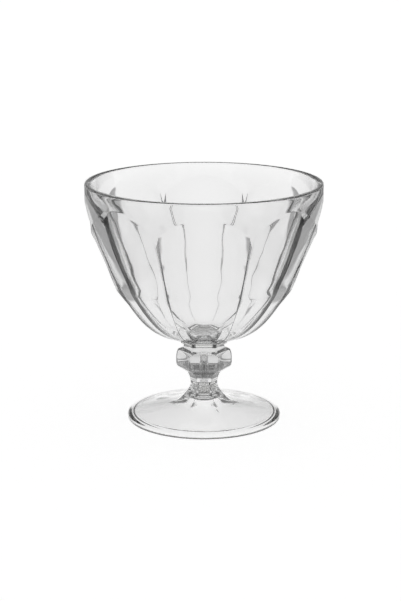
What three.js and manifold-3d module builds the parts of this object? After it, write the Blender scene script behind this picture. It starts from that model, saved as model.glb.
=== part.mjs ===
// A clear plastic sundae cup: an eight-panelled bowl on a six-sided stem with a knop, and a round foot.
// Three mouldings are stacked on one axis. The stem has a tenon at each end, and each tenon is cemented
// into a socket, one under the bowl and one in the foot's hub.
// Millimetres, +Z up, origin on the table under the axis. The front is -Y, and a panel faces it.

import * as THREE from 'three';
import { mergeVertices } from 'three/addons/utils/BufferGeometryUtils.js';
import Module from 'manifold-3d';

const wasm = await Module();
wasm.setup();

// Foot: a hollow cone that stands on a ring, with a rounded edge and a six-sided hub.
const footRadius = 33.4;
const footHeight = 15.2;
const footEdge = 2.5;
const footEdgeRound = 0.9;
const ringRound = 0.4;
const shoulderRadius = 30.6;
const shoulderHeight = 3.2;
const coneTop = 8.8;
const footShell = 2.2;
const standingRing = 3.2;
const flareRadius = 12.2;
const flareCove = 0.9;
const hubWall = 1.7;
const hubFloor = 2;

// Stem: a six-sided moulding that grows from a slim neck to a knop and ends in a collar.
// Its widths are radii to the six corners.
const neckLength = 4.8;
const neckCorner = 5.9;
const neckTopCorner = 7.4;
const neckWaist = 2.6;
const coveHeight = 2.4;
const knopUnderCorner = 10.9;
const knopLowerHeight = 3.3;
const knopCorner = 12.4;
const knopUpperHeight = 5.4;
const knopShoulderCorner = 10.8;
const knopShoulderDrop = 0.5;
const collarCorner = 9;
const collarHeight = 1.8;
const coreRadius = 1.2;
const coreRoof = 2.8;

// Cemented joints: a tenon, the film of cement round it, and the seam that shows between two mouldings.
const lowerTenonLength = 4.6;
const upperTenonCorner = 7;
const upperTenonLength = 2.2;
const cementFilm = 0.3;
const cementGap = 0.08;
const seam = 0.12;

// Bowl: eight arch-topped panels under a plain round rim band, with a narrow rib between panels.
// A panel's reach is its distance from the axis. The heights are above the bowl's own base.
const bowlHeight = 71.3;
const rimRadius = 51;
const rimWall = 2.8;
const rimRound = 0.7;
const archDrop = 4.9;
const creaseHeight = 27.9;
const creaseReach = 36.5;
const creasePull = 12.6;
const creaseLean = 0.62;
const underHeight = 2.6;
const underReach = 12.6;
const underPull = 12.4;
const underLean = 0.365;
const ribWidth = 2;
const panelWall = 2.7;
const floorHeight = 6.1;
const floorFlat = 9;
const floorPull = 10.5;
const wallPull = 14;
const wallLean = 0.46;
const mouthPull = 12;
const mouthLean = 0.15;
const bossCorner = 10.3;
const bossCoveReach = 3.2;
const bossCoveHeight = 2.8;

const panelCount = 8;
const stemSides = 6;
const roundSides = 64;
const coreSides = 24;
const curveSteps = 6;

const stemBase = footHeight + seam;
const neckTop = stemBase + neckLength;
const knopUnder = neckTop + coveHeight;
const knopMiddle = knopUnder + knopLowerHeight;
const collarBase = knopMiddle + knopUpperHeight;
const collarTop = collarBase + collarHeight;
const bowlBase = collarTop + seam;
const rimHeight = bowlBase + bowlHeight;

const stemTurn = Math.PI / stemSides;
const panelTurn = Math.PI / panelCount;
const lowerTenonCorner = neckCorner - hubWall;
const lowerTenonEnd = stemBase - lowerTenonLength;
const upperTenonEnd = collarTop + upperTenonLength;
const socketRoom = cementFilm + 2 * cementGap;

// A radius to the corners of a six-sided bar whose flats lie the given distance outside another's.
function stemCornerOutside(corner, distance) {
  return corner + distance / Math.cos(stemTurn);
}

function startOnAxis(height) {
  const outline = new THREE.Path();
  outline.moveTo(0, height);
  return outline;
}

// A solid turned about Z from a half outline that leaves the axis at its foot and comes back at its top.
// Few sides give flat facets, and the outline then runs along the corners between them.
function turned(outline, sides, turn) {
  const geometry = new THREE.LatheGeometry(outline.getPoints(curveSteps), sides, turn);
  geometry.rotateX(Math.PI / 2);
  geometry.deleteAttribute('normal');
  geometry.deleteAttribute('uv');
  const merged = mergeVertices(geometry);
  const corners = merged.index.array;
  const triVerts = [];
  for (let first = 0; first < corners.length; first += 3) {
    const [a, b, c] = corners.slice(first, first + 3);
    if (a !== b && b !== c && c !== a) {
      triVerts.push(a, b, c);
    }
  }
  return new wasm.Manifold(new wasm.Mesh({
    numProp: 3,
    vertProperties: new Float32Array(merged.attributes.position.array),
    triVerts: new Uint32Array(triVerts),
  }));
}

function roundBody(outline) {
  return turned(outline, roundSides, 0);
}

function stemBody(outline) {
  return turned(outline, stemSides, stemTurn);
}

function stemBar(corner, low, high) {
  const outline = startOnAxis(low);
  outline.lineTo(corner, low);
  outline.lineTo(corner, high);
  outline.lineTo(0, high);
  return stemBody(outline);
}

function clearPlastic() {
  return new THREE.MeshStandardMaterial({
    color: 0xe9ecec,
    roughness: 0.04,
    metalness: 0,
    transparent: true,
    opacity: 0.35,
  });
}

function clearCement() {
  return new THREE.MeshStandardMaterial({
    color: 0xf2f3ee,
    roughness: 0.1,
    metalness: 0,
    transparent: true,
    opacity: 0.5,
  });
}

function namedMesh(name, solid, material) {
  const { vertProperties, triVerts } = solid.getMesh();
  const geometry = new THREE.BufferGeometry();
  geometry.setAttribute('position', new THREE.BufferAttribute(vertProperties, 3));
  geometry.setIndex(new THREE.BufferAttribute(triVerts, 1));
  geometry.computeVertexNormals();
  const mesh = new THREE.Mesh(geometry, material);
  mesh.name = name;
  return mesh;
}

// The foot's cone falls evenly from a point on the axis to the shoulder by the edge.
function coneHeight(radius) {
  return coneTop - (coneTop - shoulderHeight) * radius / shoulderRadius;
}

function footDish() {
  const outline = startOnAxis(0);
  outline.lineTo(footRadius - ringRound, 0);
  outline.quadraticCurveTo(footRadius, 0, footRadius, ringRound);
  outline.lineTo(footRadius, footEdge - footEdgeRound);
  outline.quadraticCurveTo(footRadius, footEdge, shoulderRadius, shoulderHeight);
  outline.lineTo(0, coneTop);
  return roundBody(outline);
}

// Under the cone the foot is hollow, and the hollow rises into the hub up to the floor of its socket.
function footHollow() {
  const mouth = footRadius - standingRing;
  const roof = lowerTenonEnd - socketRoom - hubFloor;
  const outline = startOnAxis(-ringRound);
  outline.lineTo(mouth, -ringRound);
  outline.lineTo(mouth, coneHeight(mouth) - footShell);
  outline.lineTo(flareRadius, coneHeight(flareRadius) - footShell);
  outline.quadraticCurveTo(neckCorner, coneHeight(flareRadius) - footShell, neckCorner, roof);
  outline.lineTo(0, roof);
  return roundBody(outline);
}

// The hub's six facets sweep out in a cove and run into the cone as petals.
function hubFlare() {
  const outline = startOnAxis(coneHeight(flareRadius) - footShell);
  outline.lineTo(flareRadius, coneHeight(flareRadius) - footShell);
  outline.lineTo(flareRadius, coneHeight(flareRadius));
  outline.quadraticCurveTo(neckCorner, footHeight - flareCove, neckCorner, footHeight);
  outline.lineTo(0, footHeight);
  return stemBody(outline);
}

function foot() {
  const socketCorner = stemCornerOutside(lowerTenonCorner, socketRoom);
  const socket = stemBar(socketCorner, lowerTenonEnd - socketRoom, stemBase);
  return footDish().add(hubFlare()).subtract(footHollow()).subtract(socket);
}

// A slim core hole runs up the stem from its lower end and ends in a dome inside the knop.
function stemCore() {
  const domeBase = collarBase - coreRoof - coreRadius;
  const outline = startOnAxis(lowerTenonEnd - seam);
  outline.lineTo(coreRadius, lowerTenonEnd - seam);
  outline.lineTo(coreRadius, domeBase);
  outline.absarc(0, domeBase, coreRadius, 0, Math.PI / 2, false);
  return turned(outline, coreSides, 0);
}

function stem() {
  const shoulder = collarBase - knopShoulderDrop;
  const outline = startOnAxis(lowerTenonEnd);
  outline.lineTo(lowerTenonCorner, lowerTenonEnd);
  outline.lineTo(lowerTenonCorner, stemBase);
  outline.lineTo(neckCorner, stemBase);
  outline.quadraticCurveTo(neckCorner, stemBase + neckWaist, neckTopCorner, neckTop);
  outline.lineTo(knopUnderCorner, knopUnder);
  outline.quadraticCurveTo(knopCorner, knopUnder, knopCorner, knopMiddle);
  outline.quadraticCurveTo(knopCorner, shoulder, knopShoulderCorner, shoulder);
  outline.lineTo(collarCorner, collarBase);
  outline.lineTo(collarCorner, collarTop);
  outline.lineTo(upperTenonCorner, collarTop);
  outline.lineTo(upperTenonCorner, upperTenonEnd);
  outline.lineTo(0, upperTenonEnd);
  return stemBody(outline).subtract(stemCore());
}

// Cement lies round a tenon and across its end, an even film with a hair of room on both sides.
function footCement() {
  const inside = stemCornerOutside(lowerTenonCorner, cementGap);
  const outside = stemCornerOutside(inside, cementFilm);
  const end = lowerTenonEnd - cementGap;
  const cup = stemBar(outside, end - cementFilm, footHeight);
  return cup.subtract(stemBar(inside, end, stemBase));
}

function bowlCement() {
  const inside = stemCornerOutside(upperTenonCorner, cementGap);
  const outside = stemCornerOutside(inside, cementFilm);
  const end = upperTenonEnd + cementGap;
  const cup = stemBar(outside, bowlBase, end + cementFilm);
  return cup.subtract(stemBar(inside, collarTop, end));
}

// Eight flats about the axis: straight from the rim to a crease, then rounding in under the bowl.
// reachOf changes a panel's reach into that of the flats wanted.
function eightFlats(reachOf, turn) {
  const cornerAt = (reach) => reachOf(reach) / Math.cos(panelTurn);
  const crease = bowlBase + creaseHeight;
  const under = bowlBase + underHeight;
  const panelLean = (rimRadius - creaseReach) / (bowlHeight - archDrop - creaseHeight);
  const outline = startOnAxis(under);
  outline.lineTo(cornerAt(underReach), under);
  outline.bezierCurveTo(
    cornerAt(underReach + underPull),
    under + underLean * underPull,
    cornerAt(creaseReach - creaseLean * creasePull),
    crease - creasePull,
    cornerAt(creaseReach),
    crease,
  );
  outline.lineTo(cornerAt(creaseReach + panelLean * (rimHeight - crease)), rimHeight);
  outline.lineTo(0, rimHeight);
  return turned(outline, panelCount, turn);
}

function panels() {
  return eightFlats((reach) => reach, panelTurn);
}

// The ribs are narrow flats across the corners between panels.
function ribs() {
  const backOff = ribWidth / 2 * Math.sin(panelTurn);
  return eightFlats((reach) => (reach - backOff) / Math.cos(panelTurn), 0);
}

function rimBlank() {
  const outline = startOnAxis(bowlBase);
  outline.lineTo(rimRadius, bowlBase);
  outline.lineTo(rimRadius, rimHeight - rimRound);
  outline.quadraticCurveTo(rimRadius, rimHeight, rimRadius - rimRound, rimHeight);
  outline.lineTo(0, rimHeight);
  return roundBody(outline);
}

// A six-sided boss with a coved side takes the stem's collar under the bowl.
function boss() {
  const coveTop = bowlBase + bossCoveHeight;
  const outline = startOnAxis(bowlBase);
  outline.lineTo(bossCorner, bowlBase);
  outline.quadraticCurveTo(bossCorner, coveTop, bossCorner + bossCoveReach, coveTop);
  outline.lineTo(0, bowlBase + floorHeight);
  return stemBody(outline);
}

// The inside is round: a flat floor, a curved wall that keeps its distance from the panels, and the mouth.
function bowlInside() {
  const floor = bowlBase + floorHeight;
  const middle = bowlBase + creaseHeight + panelWall * wallLean;
  const middleRadius = creaseReach - panelWall;
  const mouthRadius = rimRadius - rimWall;
  const roundBase = rimHeight - rimRound;
  const outline = startOnAxis(floor);
  outline.lineTo(floorFlat, floor);
  outline.bezierCurveTo(
    floorFlat + floorPull,
    floor,
    middleRadius - wallLean * wallPull,
    middle - wallPull,
    middleRadius,
    middle,
  );
  outline.bezierCurveTo(
    middleRadius + wallLean * wallPull,
    middle + wallPull,
    mouthRadius - mouthLean * mouthPull,
    roundBase - mouthPull,
    mouthRadius,
    roundBase,
  );
  outline.quadraticCurveTo(mouthRadius, rimHeight, mouthRadius + rimRound, rimHeight);
  outline.lineTo(mouthRadius + rimRound, rimHeight + rimRound);
  outline.lineTo(0, rimHeight + rimRound);
  return roundBody(outline);
}

function bowl() {
  const socketCorner = stemCornerOutside(upperTenonCorner, socketRoom);
  const socket = stemBar(socketCorner, collarTop, upperTenonEnd + socketRoom);
  const body = panels().intersect(ribs()).intersect(rimBlank()).add(boss());
  return body.subtract(bowlInside()).subtract(socket);
}

const sundaeCup = new THREE.Group();
sundaeCup.add(namedMesh('foot', foot(), clearPlastic()));
sundaeCup.add(namedMesh('foot_cement', footCement(), clearCement()));
sundaeCup.add(namedMesh('stem', stem(), clearPlastic()));
sundaeCup.add(namedMesh('bowl_cement', bowlCement(), clearCement()));
sundaeCup.add(namedMesh('bowl', bowl(), clearPlastic()));

export default sundaeCup;
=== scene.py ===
import math
import bpy
import numpy as np
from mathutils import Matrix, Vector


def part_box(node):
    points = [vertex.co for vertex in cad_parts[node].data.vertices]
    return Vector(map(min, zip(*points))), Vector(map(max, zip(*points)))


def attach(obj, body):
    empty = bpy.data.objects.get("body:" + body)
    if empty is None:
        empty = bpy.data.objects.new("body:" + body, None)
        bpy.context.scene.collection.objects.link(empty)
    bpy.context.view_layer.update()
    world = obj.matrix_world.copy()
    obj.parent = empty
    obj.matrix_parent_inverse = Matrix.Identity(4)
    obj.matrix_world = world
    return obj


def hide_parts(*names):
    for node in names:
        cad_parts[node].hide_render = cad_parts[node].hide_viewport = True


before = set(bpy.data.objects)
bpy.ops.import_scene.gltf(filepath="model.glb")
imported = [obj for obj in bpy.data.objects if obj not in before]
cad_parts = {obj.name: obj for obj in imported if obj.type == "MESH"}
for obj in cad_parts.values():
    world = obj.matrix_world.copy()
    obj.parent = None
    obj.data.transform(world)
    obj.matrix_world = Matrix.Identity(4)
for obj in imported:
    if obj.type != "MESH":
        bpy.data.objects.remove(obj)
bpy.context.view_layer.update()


# Foot: a shallow hollow cone of clear polystyrene, moulded in one shot. It stands on a narrow ring, and
# its middle rises in six soft petals to a six-sided hub, whose socket takes the lower end of the stem.
# The mould parted along one line across the foot and left a hair-fine ridge there.
MM = 0.001
foot_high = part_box("foot")[1]
stem_low, stem_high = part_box("stem")
foot_radius = foot_high.x / MM
foot_top = foot_high.z / MM
foot_edge_height = 2.5
ring_width = 3.2
ring_round = 0.4
ring_inner_round = 0.3
edge_start = 1.6
edge_rings = 14
shoulder_reach = 30.6
shoulder_height = 3.2
cone_tip = 8.8
cone_least = 0.1
shell = 2.2
hub_corner = 5.9
corner_cut = 0.985
corner_round = 0.0035
flare_reach = 12.2
flare_cove = 3.0
petals_from = 6.0
petals_to = 9.0
petal_blend = 1.6
petal_top = 9.5
petal_edge = 0.02
cement_film = 0.46
socket_corner = 4.73
socket_round = 0.13
socket_end = stem_low.z / MM - cement_film
hub_floor = 2.0
roof_round = 0.3
hollow_round = 0.6
flare_run = 0.8
parting_angle = math.radians(25.0)
parting_width = 0.4
parting_height = 0.1
# Rings beside a sharp edge stand this far from it, so that the edge stays crisp when it is smoothed.
nip = 0.1
half_nip = 0.05
hair = 0.02


def bend(steps, *pulls):
    """Points on a curve from the first point to the last, drawn towards those between: neighbouring
    points are averaged by the share of the way gone, again and again, until one point is left."""
    share = np.linspace(0, 1, steps)[:, None]
    points = [np.array(point, float) for point in pulls]
    while len(points) > 1:
        points = [(1 - share) * a + share * b for a, b in zip(points, points[1:])]
    return points[0]


def lesser(a, b, softness):
    """The lesser of two lengths, with the change from one to the other rounded over softness."""
    return (a + b) / 2 - np.sqrt(((a - b) / 2) ** 2 + softness**2)


def greater(a, b, softness):
    """The greater of two lengths, with the change from one to the other rounded over softness."""
    return (a + b) / 2 + np.sqrt(((a - b) / 2) ** 2 + softness**2)


def columns(sides, per_side, crowding):
    """Angles round the axis from the front. On each side of a flat's middle they follow a power of the
    way to the corner, so that they crowd together where two flats meet."""
    way = np.linspace(-1, 1, per_side, endpoint=False)
    turn = np.sign(way) * (1 - (1 - np.abs(way)) ** crowding) * math.pi / sides
    return (np.arange(sides)[:, None] * 2 * math.pi / sides + turn).ravel()


def six_sided(angle):
    """Reach of a hexagon whose corners are one away: the cosine of 30 degrees over the cosine of the
    angle from the nearest flat's middle. The corners are cut back a little and rounded."""
    step = math.pi / 3
    from_flat = (angle + step / 2) % step - step / 2
    return lesser(math.cos(step / 2) / np.cos(from_flat), corner_cut, corner_round)


def closed_rings(reach, height, angle):
    """Points and faces of a surface of rings round the Z axis: column j of ring i lies reach[i, j] from
    the axis, height[i, j] up and angle[j], or angle[i, j], round from the front. The end rings close on
    the axis."""
    across = np.stack([reach * np.sin(angle), -reach * np.cos(angle), height], -1)
    rings, count = reach.shape
    points = np.concatenate([across[:1, 0], across[1:-1].reshape(-1, 3), across[-1:, 0]])
    here = 1 + np.arange((rings - 2) * count).reshape(rings - 2, count)
    beside = np.roll(here, -1, axis=1)
    walls = np.stack([here[:-1], beside[:-1], beside[1:], here[1:]], -1).reshape(-1, 4)
    first = np.stack([np.zeros(count, int), beside[0], here[0]], -1)
    last = np.stack([np.full(count, len(points) - 1), here[-1], beside[-1]], -1)
    return points, walls, np.concatenate([first, last])


def moulding(name, node, surface, materials, inner_rings=0):
    """A smooth mesh in metres from a surface of rings in millimetres. It takes the place of its node.
    Faces that start on one of the first inner_rings rings take the second material, the rest the first."""
    points, walls, caps = surface
    mesh = bpy.data.meshes.new(name)
    mesh.from_pydata((points * MM).tolist(), [], walls.tolist() + caps.tolist())
    mesh.polygons.foreach_set("use_smooth", np.ones(len(mesh.polygons), bool))
    for material in materials:
        mesh.materials.append(material)
    count = len(caps) // 2
    first_ring = np.concatenate([
        1 + np.arange(len(walls)) // count,
        np.zeros(count, int),
        np.full(count, len(walls)),
    ])
    mesh.polygons.foreach_set("material_index", (first_ring < inner_rings).astype(np.int32))
    mesh.update()
    piece = bpy.data.objects.new(name, mesh)
    bpy.context.collection.objects.link(piece)
    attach(piece, "root")
    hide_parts(node)


def linear(code):
    """Linear red, green and blue of an sRGB hex code: a dark part is divided by 12.92, and any other has
    0.055 added, is divided by 1.055 and raised to the power 2.4."""
    parts = [int(code[i : i + 2], 16) / 255 for i in (1, 3, 5)]
    return tuple(p / 12.92 if p <= 0.04045 else ((p + 0.055) / 1.055) ** 2.4 for p in parts)


def add(tree, kind, settings=(), values=(), links=()):
    """A node of a kind with its settings, its input values and what is linked to its inputs."""
    node = tree.nodes.new(kind)
    for name, value in dict(settings).items():
        setattr(node, name, value)
    for name, value in dict(values).items():
        node.inputs[name].default_value = value
    for name, output in dict(links).items():
        tree.links.new(output, node.inputs[name])
    return node


# Polystyrene from a polished mould: water-clear, so the eye sees what lies behind it, bent at every edge.
# Its body keeps back a little light, so thick places look grey. The walls are faintly wavy from the flow in
# the mould, and the standing ring is dulled by scuffs, drawn coarser than real ones so that they show.
POLYSTYRENE_INDEX = 1.57
clear_tint = "#fefefe"
scuff_size = 1.2
scuff_top = 0.35
scuff_roughness = 0.12
wave_size = 12.0
wave_height = 0.16
body_tint = "#f3f3f3"
body_depth = 6.0


def polished_polystyrene():
    """Clear plastic whose roughness rises from none to the scuffs near the table. For every body depth
    that light travels inside, it is tinted once."""
    material = bpy.data.materials.new("polished_polystyrene")
    material.use_nodes = True
    tree = material.node_tree
    shader = tree.nodes["Principled BSDF"]
    shader.inputs["Base Color"].default_value = (*linear(clear_tint), 1)
    shader.inputs["IOR"].default_value = POLYSTYRENE_INDEX
    shader.inputs["Transmission Weight"].default_value = 1.0
    place = add(tree, "ShaderNodeTexCoord")
    grit = add(
        tree,
        "ShaderNodeTexNoise",
        values={"Scale": 1 / (scuff_size * MM), "Detail": 4.0},
        links={"Vector": place.outputs["Object"]},
    )
    height = add(tree, "ShaderNodeSeparateXYZ", links={"Vector": place.outputs["Object"]})
    near_table = add(
        tree,
        "ShaderNodeMapRange",
        values={"From Min": scuff_top * MM, "From Max": 0.0, "To Min": 0.0, "To Max": scuff_roughness},
        links={"Value": height.outputs["Z"]},
    )
    scuffs = add(
        tree,
        "ShaderNodeMath",
        {"operation": "MULTIPLY"},
        links={0: grit.outputs["Fac"], 1: near_table.outputs["Result"]},
    )
    tree.links.new(scuffs.outputs["Value"], shader.inputs["Roughness"])
    flow = add(tree, "ShaderNodeTexNoise", values={"Scale": 1 / (wave_size * MM), "Detail": 1.0},
               links={"Vector": place.outputs["Object"]})
    waves = add(tree, "ShaderNodeBump", values={"Distance": wave_height * MM},
                links={"Height": flow.outputs["Fac"]})
    tree.links.new(waves.outputs["Normal"], shader.inputs["Normal"])
    body = add(tree, "ShaderNodeVolumeAbsorption",
               values={"Color": (*linear(body_tint), 1), "Density": 1 / (body_depth * MM)})
    tree.links.new(body.outputs["Volume"], tree.nodes["Material Output"].inputs["Volume"])
    return material


plastic = polished_polystyrene()


def cone_height(reach):
    """Height of the foot's cone, which falls evenly from the tip to the shoulder."""
    return cone_tip - (cone_tip - shoulder_height) * reach / shoulder_reach


foot_angle = columns(sides=6, per_side=64, crowding=1.4)
hollow_reach = foot_radius - ring_width
hollow_roof = socket_end - hub_floor
hollow_cove = cone_height(hub_corner) - shell
hollow_flare = cone_height(flare_reach) - shell
hollow_edge = cone_height(hollow_reach) - shell
underside = np.concatenate([
    bend(6, (0, hollow_roof), (hub_corner - roof_round, hollow_roof)),
    bend(12, (hub_corner, hollow_roof - nip), (hub_corner, hollow_cove), (flare_reach, hollow_flare)),
    bend(14, (flare_reach + flare_run, cone_height(flare_reach + flare_run) - shell),
         (hollow_reach - hollow_round, hollow_edge)),
    bend(6, (hollow_reach - hollow_round + nip, hollow_edge), (hollow_reach, hollow_edge),
         (hollow_reach, ring_inner_round))[1:],
    bend(5, (hollow_reach + ring_inner_round, 0), (foot_radius - ring_round - nip, 0)),
    bend(5, (foot_radius - ring_round, 0), (foot_radius, 0), (foot_radius, ring_round))[1:],
    bend(edge_rings, (foot_radius, edge_start), (foot_radius, foot_edge_height),
         (shoulder_reach, shoulder_height)),
])
rise = np.concatenate([
    np.linspace(shoulder_height, petals_from, 16)[1:],
    np.linspace(petals_from, petals_to, 40)[1:],
    np.linspace(petals_to, foot_top - nip, 24)[1:],
])
flare = bend(200, (flare_reach, cone_height(flare_reach)), (hub_corner, foot_top - flare_cove),
             (hub_corner, foot_top))
petals = np.interp(rise, flare[:, 1], flare[:, 0])[:, None] * six_sided(foot_angle)
cone_reach = np.maximum(shoulder_reach * (cone_tip - rise) / (cone_tip - shoulder_height), cone_least)
petal_way = np.clip((petal_top - rise) / (petal_top - cone_height(flare_reach)), 0, 1)[:, None]
blend = petal_blend * petal_way**2 + petal_edge
topside = greater(petals, cone_reach[:, None], blend)
socket = np.concatenate([
    bend(4, (hub_corner - nip, foot_top), (socket_corner + hair, foot_top)),
    bend(8, (socket_corner, foot_top - half_nip), (socket_corner, socket_end + half_nip)),
    bend(5, (socket_corner - socket_round, socket_end), (0, socket_end)),
])
plain = np.ones_like(foot_angle)
foot_reach = np.concatenate([
    underside[:, :1] * plain,
    topside,
    socket[:, :1] * six_sided(foot_angle),
])
foot_height = np.concatenate([underside[:, 1], rise, socket[:, 1]])[:, None] * plain
off_parting = foot_reach * np.sin(foot_angle - parting_angle) / parting_width
ridge = parting_height * np.exp(-(off_parting**2)) * (np.cos(foot_angle - parting_angle) > 0)
ring = np.arange(len(foot_reach))
on_edge = (ring >= len(underside) - edge_rings) & (ring < len(underside))
on_top = (ring >= len(underside)) & (foot_reach.min(axis=1) > flare_reach)
foot_reach = foot_reach + ridge * on_edge[:, None]
foot_height = foot_height + ridge * on_top[:, None]
foot_surface = closed_rings(foot_reach, foot_height, foot_angle)
moulding("foot_moulding", "foot", foot_surface, [plastic])


# Cement in the foot's hub: a film of clear solvent cement, cured round the tenon of the stem. It bends
# light nearly as the plastic does, so the joint shows as fine lines, with faint streaks where it ran.
CEMENT_INDEX = 1.54
streak_tint = "#fbfbf9"
streak_size = 1.5


def clear_cement():
    """Cured cement between two faces of plastic, with a noise of faint tints."""
    material = bpy.data.materials.new("cured_clear_cement")
    material.use_nodes = True
    tree = material.node_tree
    shader = tree.nodes["Principled BSDF"]
    place = add(tree, "ShaderNodeTexCoord")
    streaks = add(tree, "ShaderNodeTexNoise", values={"Scale": 1 / (streak_size * MM), "Detail": 2.0},
                  links={"Vector": place.outputs["Object"]})
    tint = add(tree, "ShaderNodeMix", {"data_type": "RGBA"},
               {6: (1, 1, 1, 1), 7: (*linear(streak_tint), 1)}, {0: streaks.outputs["Fac"]})
    tree.links.new(tint.outputs[2], shader.inputs["Base Color"])
    shader.inputs["IOR"].default_value = CEMENT_INDEX
    shader.inputs["Roughness"].default_value = 0.0
    shader.inputs["Transmission Weight"].default_value = 1.0
    return material


cement = clear_cement()


def finish_node(node, material):
    """The node keeps its own shape and takes the material."""
    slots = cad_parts[node].data.materials
    slots.clear()
    slots.append(material)


finish_node("foot_cement", cement)


# Stem: a six-sided moulding of the same plastic, with a slim neck, a knop with an edge round its middle
# and a collar. A tenon at each end is cemented into foot and bowl, and a slim core hole runs up its middle.
seat_gap = 0.12
stem_base = foot_top + seat_gap
tenon_low = stem_low.z / MM
tenon_top = stem_high.z / MM
knop_corner = stem_high.x / MM
tenon_corner = 4.2
neck_corner = 5.9
neck_waist = 2.6
neck_top_corner = 7.4
neck_top = stem_base + 4.8
knop_under = neck_top + 2.4
knop_under_corner = 10.9
cone_start = 0.07
cone_stop = 0.04
knop_middle = knop_under + 3.3
knop_edge = 0.15
collar_base = knop_middle + 5.4
knop_shoulder_corner = 10.8
knop_shoulder = collar_base - 0.5
shoulder_run = 0.2
shoulder_start = 0.06
collar_corner = 9.0
collar_top = collar_base + 1.8
upper_tenon_corner = 7.0
core_radius = 1.9
core_lip = 0.3
core_top = collar_base - 2.8
satin_tint = "#e4e4e4"
pin_mark = 0.5
pin_polish = 0.06
pin_grain = 0.22


# Satin polystyrene: where a core pin stood in the mould the wall is left dull, so the hole shows as a soft
# grey column inside the clear stem.
def satin_polystyrene():
    """Clear plastic with a fine grain, whose roughness follows a noise of the pin's tool marks."""
    material = bpy.data.materials.new("satin_polystyrene")
    material.use_nodes = True
    tree = material.node_tree
    shader = tree.nodes["Principled BSDF"]
    shader.inputs["Base Color"].default_value = (*linear(satin_tint), 1)
    shader.inputs["IOR"].default_value = POLYSTYRENE_INDEX
    shader.inputs["Transmission Weight"].default_value = 1.0
    place = add(tree, "ShaderNodeTexCoord")
    marks = add(tree, "ShaderNodeTexNoise", values={"Scale": 1 / (pin_mark * MM), "Detail": 2.0},
                links={"Vector": place.outputs["Object"]})
    dull = add(tree, "ShaderNodeMapRange", values={"To Min": pin_polish, "To Max": pin_grain},
               links={"Value": marks.outputs["Fac"]})
    tree.links.new(dull.outputs["Result"], shader.inputs["Roughness"])
    return material


satin_plastic = satin_polystyrene()
stem_angle = columns(sides=6, per_side=48, crowding=1.5)
dome = np.linspace(math.pi / 2, 0, 8)
core = np.concatenate([
    np.stack([core_radius * np.cos(dome), core_top - core_radius + core_radius * np.sin(dome)], -1),
    bend(24, (core_radius, core_top - core_radius - core_lip), (core_radius, tenon_low)),
])
tenon_end = bend(4, (core_radius + core_lip, tenon_low), (tenon_corner - nip, tenon_low))
lower_tenon = np.concatenate([
    bend(8, (tenon_corner, tenon_low + half_nip), (tenon_corner, stem_base)),
    bend(4, (tenon_corner + nip, stem_base), (neck_corner - nip, stem_base)),
])
shank = np.concatenate([
    bend(16, (neck_corner, stem_base + nip), (neck_corner, stem_base + neck_waist),
         (neck_top_corner, neck_top)),
    bend(10, (neck_top_corner + nip, neck_top + cone_start),
         (knop_under_corner - half_nip, knop_under - cone_stop)),
    bend(14, (knop_under_corner, knop_under), (knop_corner, knop_under), (knop_corner, knop_middle)),
    bend(16, (knop_corner, knop_middle + knop_edge), (knop_corner, knop_shoulder),
         (knop_shoulder_corner, knop_shoulder)),
    bend(6, (knop_shoulder_corner - shoulder_run, knop_shoulder + shoulder_start),
         (collar_corner + half_nip, collar_base - hair)),
    bend(6, (collar_corner, collar_base + half_nip), (collar_corner, collar_top - half_nip)),
])
upper_tenon = np.concatenate([
    bend(4, (collar_corner - nip, collar_top), (upper_tenon_corner + half_nip, collar_top)),
    bend(6, (upper_tenon_corner, collar_top + half_nip), (upper_tenon_corner, tenon_top - half_nip)),
    bend(6, (upper_tenon_corner - nip, tenon_top), (0, tenon_top)),
])
stem_profile = np.concatenate([core, tenon_end, lower_tenon, shank, upper_tenon])
sixness = np.concatenate([
    np.zeros(len(core)),
    np.linspace(0, 1, len(tenon_end)),
    np.ones(len(lower_tenon) + len(shank) + len(upper_tenon)),
])[:, None]
stem_reach = stem_profile[:, :1] * (1 - sixness + sixness * six_sided(stem_angle))
stem_height = stem_profile[:, 1:] * np.ones_like(stem_angle)
stem_surface = closed_rings(stem_reach, stem_height, stem_angle)
moulding("stem_moulding", "stem", stem_surface, [plastic, satin_plastic], len(core))


# Cement under the bowl: the same film of clear solvent cement, cured between the stem's upper tenon and the
# socket in the bowl's boss. It holds the bowl on the stem.
finish_node("bowl_cement", cement)


# Bowl: one moulding of clear polystyrene, round inside. Outside, eight panels meet in slim raised ribs
# below a plain round rim band, which cuts each panel off in an arch, and a crease crosses every panel where
# the wall turns in to a six-sided boss. The panels swell a little between their ribs.
bowl_low, bowl_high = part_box("bowl")
bowl_base = bowl_low.z / MM
rim_height = bowl_high.z / MM
rim_radius = bowl_high.x / MM
rim_wall = 2.8
rim_round = 0.7
panel_count = 8
half_panel = math.pi / panel_count
arch_drop = 4.9
arch_guess = 12.0
arch_tries = 60
arch_below_rim = 1.2
arch_round = 0.05
crease_reach = 36.5
crease = bowl_base + 27.9
panel_wall = 2.7
under_reach = 12.6
under_height = bowl_base + 2.6
under_pull = 12.4
under_slope = 0.365
crease_pull = 12.6
crease_slope = 0.62
bowl_socket_corner = 7.53
bowl_socket_end = tenon_top + cement_film
boss_corner = 10.3
boss_edge_run = 0.2
boss_edge_rise = 0.15
boss_cove = bowl_base + 2.4
boss_top = bowl_base + 2.55
boss_column_reach = 13.0
floor_height = bowl_base + 6.1
floor_flat = 9.0
floor_step = 1.0
floor_pull = 10.5
mouth_draft = 1.8
mouth_pull = 12.0
inner_pull = 14.0
inner_slope = 0.46
lean = (rim_radius - crease_reach) / (rim_height - arch_drop - crease)
swell_heights = (33.0, 50.0, 61.0, 71.0, 84.0, 95.0, 104.0)
swells = (0.0, 0.3, 0.9, 1.4, 1.0, 0.5, 0.4)
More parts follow.
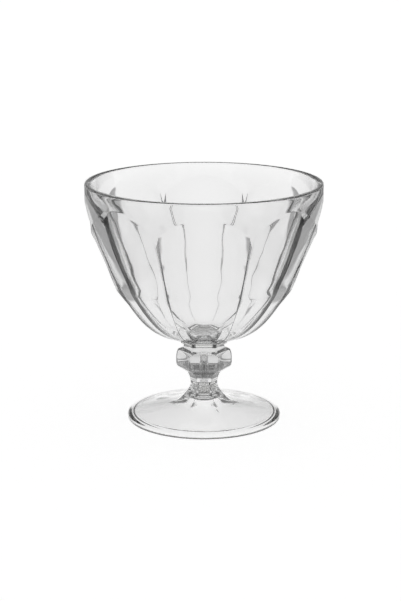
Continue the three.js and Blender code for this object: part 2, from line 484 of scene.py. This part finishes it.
rib_heights = (33.0, 52.0, 54.0, 57.0, 60.0, 64.0, 71.0, 80.0, 86.0, 90.0, 104.5)
rib_halves = (0.15, 0.15, 0.2, 0.55, 0.75, 0.7, 0.55, 0.7, 1.0, 1.3, 1.3)
rib_rise = 1.6

# Columns over half a rib and over half a panel, closest together beside the rib's edge. Each share is laid
# out twice, once to either side of a panel's middle, and then for all panels.
over_rib = np.linspace(0, 1, 9)
over_panel = np.concatenate([[0.006, 0.016], np.linspace(0.04, 1, 26)])
rib_half = np.concatenate([over_rib, np.ones_like(over_panel)])
panel_half = np.concatenate([np.zeros_like(over_rib), over_panel])
half_columns = len(rib_half) - 1
rib_share = np.tile(np.concatenate([rib_half[1:], rib_half[::-1][1:]]), panel_count)
panel_share = np.tile(np.concatenate([panel_half[1:], panel_half[::-1][1:]]), panel_count)
panel_side = np.tile(np.repeat([-1.0, 1.0], half_columns), panel_count)
panel_turn = np.repeat(np.arange(panel_count) * 2 * half_panel, 2 * half_columns)


def off_middle(height, reach):
    """Angle from a panel's middle for every column at a height, and the angle of the rib's edge: the
    rib's columns share its half width out from the corner, and the panel's share what is left."""
    rib = np.interp(height, rib_heights, rib_halves) * math.cos(half_panel) / reach
    return (half_panel - rib * rib_share) * (1 - panel_share), half_panel - rib


def panel_reach(reach, height):
    """Reach of a panel whose middle is at reach: a flat's, over the cosine of the angle from its middle
    as far as the rib, a swell that falls with the square of the way to the corner, and the rib, which
    rises by rib_rise times its half width and falls with the square of the way to its edge."""
    off, rib_edge = off_middle(height, reach)
    swell = np.interp(height, swell_heights, swells) * (1 - (np.tan(off) / math.tan(half_panel)) ** 2)
    lift = rib_rise * np.interp(height, rib_heights, rib_halves) * (1 - rib_share**2)
    return reach / np.cos(np.minimum(off, rib_edge)) + swell + lift


def lean_reach(height):
    """Reach of a panel's middle above the crease, where it leans out evenly."""
    return crease_reach + lean * (height - crease)


def upper_wall(height):
    """Reach of the leaning panels above the crease, cut off by the round band under the rim."""
    return lesser(panel_reach(lean_reach(height), height), rim_radius, arch_round)


def round_about(height, reach):
    """Angle from the front for every column."""
    return panel_turn + panel_side * off_middle(height, reach)[0]


boss = np.concatenate([
    bend(6, (0, bowl_socket_end), (bowl_socket_corner - half_nip, bowl_socket_end)),
    bend(6, (bowl_socket_corner, bowl_socket_end - half_nip), (bowl_socket_corner, bowl_base)),
    bend(4, (bowl_socket_corner + half_nip, bowl_base), (boss_corner - boss_edge_run, bowl_base)),
    bend(10, (boss_corner, bowl_base + boss_edge_rise), (boss_corner, boss_cove), (under_reach, boss_top)),
])
under = bend(40, (under_reach, under_height),
             (under_reach + under_pull, under_height + under_slope * under_pull),
             (crease_reach - crease_slope * crease_pull, crease - crease_pull), (crease_reach, crease))[1:]
level = np.ones_like(panel_turn)
under_heights = under[:, 1:] * level

# The arch lies where the panel reaches the round band. Its height is put right by the missing reach over
# the lean, again and again, for all columns at once.
arch = np.full_like(panel_turn, rim_height - arch_guess)
for _ in range(arch_tries):
    short_by = rim_radius - panel_reach(lean_reach(arch), arch)
    arch = arch + short_by / lean
arch = np.minimum(arch, rim_height - arch_below_rim)

# Shares of the way from the crease to the arch and on to the rim. Rings crowd together at the arch, where
# the wall turns from flat to round.
to_arch = np.concatenate([
    np.linspace(0, 0.55, 10)[1:],
    np.linspace(0.55, 0.93, 16)[1:],
    1 - np.array([0.05, 0.035, 0.022, 0.012, 0.006, 0.003, 0.0]),
])[:, None]
to_rim = np.concatenate([[0.006, 0.014, 0.03, 0.06, 0.12, 0.25], np.linspace(0.4, 1, 5)])[:, None]
panel_heights = np.concatenate([
    crease + to_arch * (arch - crease),
    arch + to_rim * (rim_height - rim_round - arch),
])
quarter = np.linspace(0, math.pi / 2, 6)[1:]
mouth = rim_radius - rim_wall
inner_reach = crease_reach - panel_wall
inner_crease = crease + panel_wall * inner_slope
rim_edge = rim_height - rim_round
inside = np.concatenate([
    np.stack([rim_radius - rim_round + rim_round * np.cos(quarter),
              rim_edge + rim_round * np.sin(quarter)], -1),
    np.stack([mouth + rim_round - rim_round * np.sin(quarter),
              rim_edge + rim_round * np.cos(quarter)], -1),
    bend(18, (mouth, rim_edge), (mouth - mouth_draft, rim_edge - mouth_pull),
         (inner_reach + inner_slope * inner_pull, inner_crease + inner_pull),
         (inner_reach, inner_crease))[1:],
    bend(24, (inner_reach, inner_crease),
         (inner_reach - inner_slope * inner_pull, inner_crease - inner_pull),
         (floor_flat + floor_pull, floor_height), (floor_flat, floor_height))[1:],
    bend(6, (floor_flat - floor_step, floor_height), (0, floor_height)),
])
boss_angle = round_about(boss[:, 1:] * level, boss_column_reach)
panel_angle = round_about(panel_heights, lean_reach(panel_heights))
bowl_angle = np.concatenate([
    boss_angle,
    round_about(under_heights, under[:, :1]),
    panel_angle,
    np.tile(panel_angle[-1], (len(inside), 1)),
])
bowl_reach = np.concatenate([
    boss[:, :1] * six_sided(boss_angle),
    panel_reach(under[:, :1], under_heights),
    upper_wall(panel_heights),
    inside[:, :1] * level,
])
bowl_height = np.concatenate([boss[:, 1:] * level, under_heights, panel_heights, inside[:, 1:] * level])
bowl_surface = closed_rings(bowl_reach, bowl_height, bowl_angle)
moulding("bowl_moulding", "bowl", bowl_surface, [plastic])


# Table and light: paper that the cup stands on, glowing white along the middle from front to back and grey
# to both sides, under a soft studio sky that is brightest at the horizon. The white lane is a painted pool
# of light in the paper's own glow, and the grey sides are painted shade. The plastic shows the same paper
# and sky. The ring rests on the paper's high points, so a thread of air lies under it.
table_half = 3000.0
paper_gap = 0.05
# Width, spread to the back and soft edge of the painted lane of light, and the painted shade of its sides.
painted_lane_half = 90.0
painted_lane_spread = 0.118
painted_lane_fall = 20.0
painted_side_shade = 0.3
glow = 0.83
paper_tint = "#e7e7e7"
sky_low = math.sin(math.radians(4))
sky_high = math.sin(math.radians(14))
sky_overhead = 0.2
table_corners = np.array([(-1, -1), (1, -1), (1, 1), (-1, 1)]) * table_half
table_points = np.column_stack([table_corners, np.full(4, -paper_gap)]) * MM
table_mesh = bpy.data.meshes.new("table")
table_mesh.from_pydata(table_points.tolist(), [], [(0, 1, 2, 3)])
table = bpy.data.objects.new("table", table_mesh)
bpy.context.collection.objects.link(table)

world = bpy.data.worlds.new("studio")
bpy.context.scene.world = world
world.use_nodes = True
sky = world.node_tree
sky.nodes.clear()
sky_place = add(sky, "ShaderNodeTexCoord")
sky_parts = add(sky, "ShaderNodeSeparateXYZ", links={"Vector": sky_place.outputs["Generated"]})
sky_level = add(
    sky,
    "ShaderNodeMapRange",
    values={"From Min": sky_low, "From Max": sky_high, "To Min": 1.0, "To Max": sky_overhead},
    links={"Value": sky_parts.outputs["Z"]},
)
sky_light = add(sky, "ShaderNodeBackground", values={"Color": (1, 1, 1, 1)},
                links={"Strength": sky_level.outputs["Result"]})
add(sky, "ShaderNodeOutputWorld", links={"Surface": sky_light.outputs["Background"]})

paper = bpy.data.materials.new("paper_with_painted_light_lane")
paper.use_nodes = True
sheet = paper.node_tree
sheet.nodes.clear()
sheet_place = add(sheet, "ShaderNodeTexCoord")
sheet_parts = add(sheet, "ShaderNodeSeparateXYZ", links={"Vector": sheet_place.outputs["Object"]})
aside = add(sheet, "ShaderNodeMath", {"operation": "ABSOLUTE"}, links={0: sheet_parts.outputs["X"]})
along = add(sheet, "ShaderNodeMath", {"operation": "ABSOLUTE"}, links={0: sheet_parts.outputs["Y"]})
# Painted light: the paper's glow is full inside a lane that widens to the back, and falls to painted grey
# shade on both sides.
painted_lane_edge = add(sheet, "ShaderNodeMath", {"operation": "MULTIPLY_ADD"}, {1: painted_lane_spread, 2: painted_lane_half * MM},
               {0: along.outputs["Value"]})
past_painted_lane = add(sheet, "ShaderNodeMath", {"operation": "SUBTRACT"},
             links={0: aside.outputs["Value"], 1: painted_lane_edge.outputs["Value"]})
painted_lane_level = add(sheet, "ShaderNodeMapRange", {"interpolation_type": "SMOOTHSTEP"},
                  {"From Min": 0.0, "From Max": painted_lane_fall * MM, "To Min": 1.0, "To Max": painted_side_shade},
                  {"Value": past_painted_lane.outputs["Value"]})
sheet_matt = add(sheet, "ShaderNodeBsdfDiffuse", values={"Color": (*linear(paper_tint), 1)})
painted_lane_light = add(sheet, "ShaderNodeMath", {"operation": "MULTIPLY"}, {1: glow},
                {0: painted_lane_level.outputs["Result"]})
sheet_painted_glow = add(sheet, "ShaderNodeEmission", links={"Strength": painted_lane_light.outputs["Value"]})
sheet_both = add(sheet, "ShaderNodeAddShader",
                 links={0: sheet_matt.outputs["BSDF"], 1: sheet_painted_glow.outputs["Emission"]})
add(sheet, "ShaderNodeOutputMaterial", links={"Surface": sheet_both.outputs["Shader"]})
table_mesh.materials.append(paper)


# Camera: the photograph's viewing angle, from the front and about 14 degrees above. Light crosses many
# faces of the clear walls before it leaves them, so many bounces are followed.
view_distance = 0.73787
view_centre = 0.052166
view_pitch = math.radians(14.2435)
focal_pixels = 1701.76
frame_height = 601
axis_shift = 3.5
camera = bpy.data.cameras.new("camera")
camera_stand = bpy.data.objects.new("camera", camera)
bpy.context.collection.objects.link(camera_stand)
camera_stand.location = (
    0,
    -view_distance * math.cos(view_pitch),
    view_centre + view_distance * math.sin(view_pitch),
)
camera_stand.rotation_euler = (math.pi / 2 - view_pitch, 0, 0)
camera.sensor_width = 36
camera.lens = camera.sensor_width * focal_pixels / frame_height
camera.shift_x = -axis_shift / frame_height
scene = bpy.context.scene
scene.camera = camera_stand
scene.view_settings.view_transform = "Standard"
scene.cycles.max_bounces = 32
scene.cycles.transmission_bounces = 32
scene.cycles.glossy_bounces = 16

bpy.context.view_layer.update()
